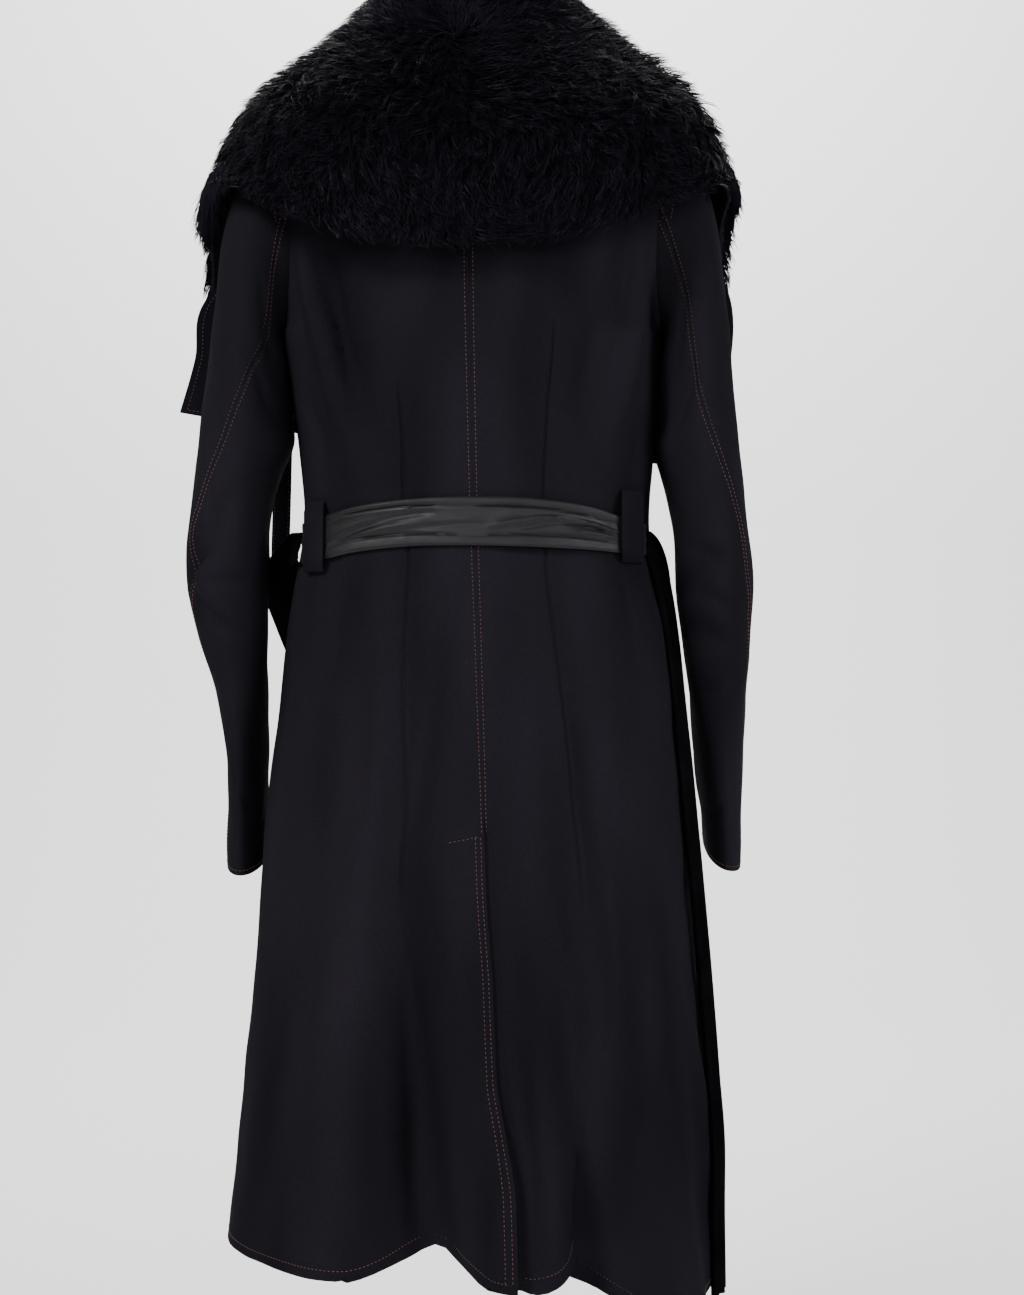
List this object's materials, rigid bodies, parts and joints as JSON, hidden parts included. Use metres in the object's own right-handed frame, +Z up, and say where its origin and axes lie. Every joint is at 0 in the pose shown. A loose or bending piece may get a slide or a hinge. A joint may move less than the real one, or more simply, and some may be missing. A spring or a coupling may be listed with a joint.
{
  "type": "fur collar coat",
  "caption": "Long dark wool coat with a wide curly fur collar, set-in sleeves, a back vent and a soft leather belt held by loops",
  "frame": {"origin": "between the shoulders, just above the neck seam, where the coat is held up", "axes": "+X to the wearer's right, +Y to the wearer's front, +Z up along the hanging coat"},
  "size_m": [0.5315, 0.3699, 1.1647],
  "materials": {
    "wool": "dense brushed black wool with a soft dull sheen",
    "fur": "long curly black shearling fur",
    "leather": "soft dark grey leather with a satin sheen"
  },
  "bodies": {
    "root": {"back_left": "wool", "back_right": "wool", "front_left": "wool", "front_right": "wool", "sleeve_upper_left": "wool", "sleeve_upper_right": "wool", "sleeve_under_left": "wool", "sleeve_under_right": "wool", "lapel_left": "wool", "lapel_right": "wool", "tab_left": "wool", "belt_loop_left": "wool", "belt_loop_right": "wool", "under_collar": "wool", "fur_collar": "fur", "belt_back": "leather", "belt_end_left": "leather", "belt_end_right": "leather"}
  },
  "joints": []
}
